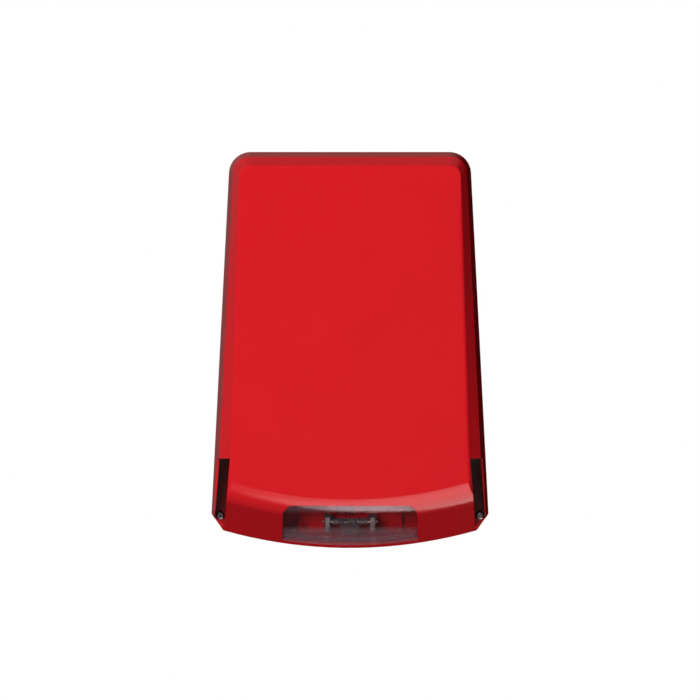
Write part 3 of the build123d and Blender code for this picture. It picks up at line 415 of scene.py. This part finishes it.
# scored aluminium ends of the upright capacitors
# cans as x, z, radius and height in mm
can = {"cans": ((26, -14, 4.0, 13.0), (26, -28, 4.0, 13.0), (78, -70, 5.0, 16.0)),
       "lip": 0.9, "thick": 0.12, "score": 0.35, "sink": 0.6}
for number, (x, z, radius, tall) in enumerate(can["cans"], 1):
    bpy.ops.object.select_all(action="DESELECT")
    outer = -(boardFront + tall + can["thick"] / 2) * mm
    bpy.ops.mesh.primitive_cylinder_add(vertices=48, radius=(radius - can["lip"]) * mm,
                                        depth=can["thick"] * mm, location=(x * mm, outer, z * mm),
                                        rotation=(math.pi / 2, 0, 0))
    lid = bpy.context.object
    bpy.ops.object.transform_apply(location=True, rotation=True, scale=True)
    bpy.ops.object.mode_set(mode="EDIT")
    bpy.ops.mesh.select_all(action="DESELECT")
    bpy.ops.object.mode_set(mode="OBJECT")
    for face in lid.data.polygons:
        face.select = face.normal.y < -0.9
    bpy.ops.object.mode_set(mode="EDIT")
    bpy.ops.mesh.select_mode(type="FACE")
    bpy.ops.mesh.inset(thickness=can["score"] * mm)
    bpy.ops.transform.translate(value=(0, can["thick"] * can["sink"] * mm, 0))
    bpy.ops.object.mode_set(mode="OBJECT")
    settle(finishPiece("capacitorLid_%d" % number), "base", "bright_aluminium")
print("capacitor lids placed")

# solder fillets round the through pins
solder = {"round": 0.9, "rise": 0.55, "rowFirst": 24, "rowPitch": 5, "rowPins": 5, "rows": (-73, -51),
          "terminals": (33.84, 38.92, 44.0, 49.08, 54.16), "terminalRow": 15.4,
          "light": ((80, -14), (82, -14))}
joints = [(solder["rowFirst"] + i * solder["rowPitch"], row)
          for row in solder["rows"] for i in range(solder["rowPins"])]
joints += [(terminal, solder["terminalRow"]) for terminal in solder["terminals"]]
joints += list(solder["light"])
bpy.ops.object.select_all(action="DESELECT")
for index, (x, z) in enumerate(joints):
    bpy.ops.mesh.primitive_uv_sphere_add(
        segments=14, ring_count=8, radius=1, location=(x * mm, -boardFront * mm, z * mm),
        scale=(solder["round"] * mm, solder["rise"] * mm, solder["round"] * mm))
    if index == 0:
        bpy.ops.object.mode_set(mode="EDIT")
bpy.ops.object.mode_set(mode="OBJECT")
settle(finishPiece("solderJoints"), "base", "tinned_metal")
print("solder joints placed")

# studio

studio = {
    "cameraDistance": 12.0,
    "frameWidth": 0.5126,
    "ambient": 0.16,
    "bounce": 0.52,
    "floorHeight": -0.62,
    "floorRadius": 1.5,
    "sensorMm": 36.0,
    "planeAhead": 0.02,         # the frame width is measured this far in front of the wall
    "lampAim": (0, -0.04, 0),
}

# seen only in reflections, angles in radians: made to lay one bright band on the sloped underside
softbox = {"middle": 0.58, "left": 0.25, "taper": 0.38, "start": 0.05, "startFade": 0.05, "blur": 0.025,
           "right": 0.6, "rightFade": 0.1, "back": 2.2, "backFade": 0.15, "strength": 4.3,
           "wall": 0.17, "wallFrom": 0.05, "wallFull": 0.3}

bpy.ops.object.select_all(action="DESELECT")
bpy.ops.mesh.primitive_circle_add(vertices=96, radius=studio["floorRadius"], fill_type="NGON",
                                  location=(0, 0.2, studio["floorHeight"]))
floor = bpy.context.object
floor.name = "studioFloor"
# matt white paper that glows a little to the camera alone
paper, paperTree = newMaterial("matPaperFloor")
paperPlace = addNode(paperTree, "ShaderNodeTexCoord")
fibre = addNode(paperTree, "ShaderNodeTexNoise", {"Scale": 2.5, "Detail": 2.0},
                {"Vector": (paperPlace, "Object")})
paperTone = addNode(paperTree, "ShaderNodeMix",
                    {"data_type": "RGBA", 6: hexColour("#E6E6E7"), 7: hexColour("#EEEEEF")},
                    {0: (fibre, 0)})
paperShader = addNode(paperTree, "ShaderNodeBsdfPrincipled",
                      {"Roughness": 0.85, "Specular IOR Level": 0.1, "Emission Color": (1, 1, 1, 1),
                       "Emission Strength": 0.6}, {"Base Color": (paperTone, 2)})
addNode(paperTree, "ShaderNodeOutputMaterial", None, {"Surface": (paperShader, 0)})
floor.data.materials.append(paper)
floor.visible_glossy = False
floor.visible_diffuse = False

# white room for the camera, soft grey light from all round with more from below in place of
# the floor's bounce, and for reflections a low softbox that narrows away from its middle and
# a faint wall up on the left
world = bpy.data.worlds.new("studioWorld")
bpy.context.scene.world = world
world.use_nodes = True
tree = world.node_tree
tree.nodes.clear()
seen = addNode(tree, "ShaderNodeLightPath")
aim = addNode(tree, "ShaderNodeTexCoord")
axes = addNode(tree, "ShaderNodeSeparateXYZ", None, {0: (aim, "Generated")})
ahead = addNode(tree, "ShaderNodeMath", {"operation": "MULTIPLY", 1: -1.0}, {0: (axes, 1)})
below = addNode(tree, "ShaderNodeMath", {"operation": "MULTIPLY", 1: -1.0}, {0: (axes, 2)})
sideways = addNode(tree, "ShaderNodeMath", {"operation": "ARCTAN2"}, {0: (axes, 0), 1: (below, 0)})
squareX = addNode(tree, "ShaderNodeMath", {"operation": "MULTIPLY"}, {0: (axes, 0), 1: (axes, 0)})
squareZ = addNode(tree, "ShaderNodeMath", {"operation": "MULTIPLY"}, {0: (axes, 2), 1: (axes, 2)})
squares = addNode(tree, "ShaderNodeMath", {"operation": "ADD"}, {0: (squareX, 0), 1: (squareZ, 0)})
across = addNode(tree, "ShaderNodeMath", {"operation": "SQRT"}, {0: (squares, 0)})
swing = addNode(tree, "ShaderNodeMath", {"operation": "ARCTAN2"}, {0: (across, 0), 1: (ahead, 0)})
offMiddle = addNode(tree, "ShaderNodeMath", {"operation": "SUBTRACT", 1: softbox["middle"]},
                    {0: (swing, 0)})
spread = addNode(tree, "ShaderNodeMath", {"operation": "ABSOLUTE"}, {0: (offMiddle, 0)})
taper = addNode(tree, "ShaderNodeMath", {"operation": "MULTIPLY", 1: softbox["taper"]}, {0: (spread, 0)})
fromLeft = addNode(tree, "ShaderNodeMath", {"operation": "ADD", 1: softbox["left"]}, {0: (sideways, 0)})
inside = addNode(tree, "ShaderNodeMath", {"operation": "SUBTRACT"}, {0: (fromLeft, 0), 1: (taper, 0)})
edge = addNode(tree, "ShaderNodeMapRange", {"From Min": -softbox["blur"], "From Max": softbox["blur"]},
               {"Value": (inside, 0)})
endSide = addNode(tree, "ShaderNodeMapRange",
                  {"From Min": softbox["right"] + softbox["rightFade"],
                   "From Max": softbox["right"] - softbox["rightFade"]}, {"Value": (sideways, 0)})
endBack = addNode(tree, "ShaderNodeMapRange",
                  {"From Min": softbox["back"] + softbox["backFade"],
                   "From Max": softbox["back"] - softbox["backFade"]}, {"Value": (swing, 0)})
endFront = addNode(tree, "ShaderNodeMapRange",
                   {"From Min": softbox["start"],
                    "From Max": softbox["start"] + softbox["startFade"]}, {"Value": (swing, 0)})
sides = addNode(tree, "ShaderNodeMath", {"operation": "MULTIPLY"}, {0: (edge, 0), 1: (endSide, 0)})
ends = addNode(tree, "ShaderNodeMath", {"operation": "MULTIPLY"}, {0: (endBack, 0), 1: (endFront, 0)})
box = addNode(tree, "ShaderNodeMath", {"operation": "MULTIPLY"}, {0: (sides, 0), 1: (ends, 0)})
glow = addNode(tree, "ShaderNodeMath", {"operation": "MULTIPLY", 1: softbox["strength"]}, {0: (box, 0)})
slant = addNode(tree, "ShaderNodeMath", {"operation": "SUBTRACT"}, {0: (axes, 2), 1: (axes, 0)})
upLeft = addNode(tree, "ShaderNodeMapRange",
                 {"From Min": softbox["wallFrom"], "From Max": softbox["wallFull"],
                  "To Max": softbox["wall"]}, {"Value": (slant, 0)})
level = addNode(tree, "ShaderNodeMath", {"operation": "ADD"}, {0: (upLeft, 0), 1: (glow, 0)})
downward = addNode(tree, "ShaderNodeMath", {"operation": "MAXIMUM", 1: 0.0}, {0: (below, 0)})
bounce = addNode(tree, "ShaderNodeMath", {"operation": "MULTIPLY", 1: studio["bounce"]},
                 {0: (downward, 0)})
grey = addNode(tree, "ShaderNodeMath", {"operation": "ADD", 1: studio["ambient"]}, {0: (bounce, 0)})
soft = addNode(tree, "ShaderNodeBackground", {"Color": (1, 1, 1, 1)}, {"Strength": (grey, 0)})
mirror = addNode(tree, "ShaderNodeBackground", {"Color": (1, 0.94, 0.9, 1)}, {"Strength": (level, 0)})
white = addNode(tree, "ShaderNodeBackground", {"Color": (1, 1, 1, 1), "Strength": 1.0})
room = addNode(tree, "ShaderNodeMixShader", None,
               {0: (seen, "Is Glossy Ray"), 1: (soft, 0), 2: (mirror, 0)})
both = addNode(tree, "ShaderNodeMixShader", None,
               {0: (seen, "Is Camera Ray"), 1: (room, 0), 2: (white, 0)})
addNode(tree, "ShaderNodeOutputWorld", None, {"Surface": (both, 0)})

lamps = [
    # name, place, size, power
    ("keyBox", (-0.95, -2.2, 1.15), (1.4, 1.4), 41),
    ("frontBox", (-0.7, -2.5, 0.15), (0.5, 0.5), 27),
    ("rearBox", (-0.8, 2.2, 1.6), (1.6, 1.6), 40),
]
for name, place, size, power in lamps:
    data = bpy.data.lights.new(name, "AREA")
    data.shape = "RECTANGLE"
    data.size, data.size_y = size
    data.energy = power
    lamp = bpy.data.objects.new(name, data)
    bpy.context.collection.objects.link(lamp)
    lamp.location = place
    towards = Vector(studio["lampAim"]) - Vector(place)
    lamp.rotation_euler = towards.to_track_quat("-Z", "Y").to_euler()
    lamp.visible_camera = False
    lamp.visible_glossy = False

camera = bpy.data.objects.new("frontCamera", bpy.data.cameras.new("frontCamera"))
bpy.context.collection.objects.link(camera)
camera.data.sensor_width = studio["sensorMm"]
ahead = studio["cameraDistance"] - studio["planeAhead"]
camera.data.lens = studio["sensorMm"] * ahead / studio["frameWidth"]
camera.location = (0, -studio["cameraDistance"], 0)
camera.rotation_euler = (math.pi / 2, 0, 0)
camera.data.clip_start, camera.data.clip_end = 0.05, 30
bpy.context.scene.camera = camera
bpy.context.scene.view_settings.view_transform = "Standard"
bpy.context.scene.view_settings.look = "None"
print("studio ready")
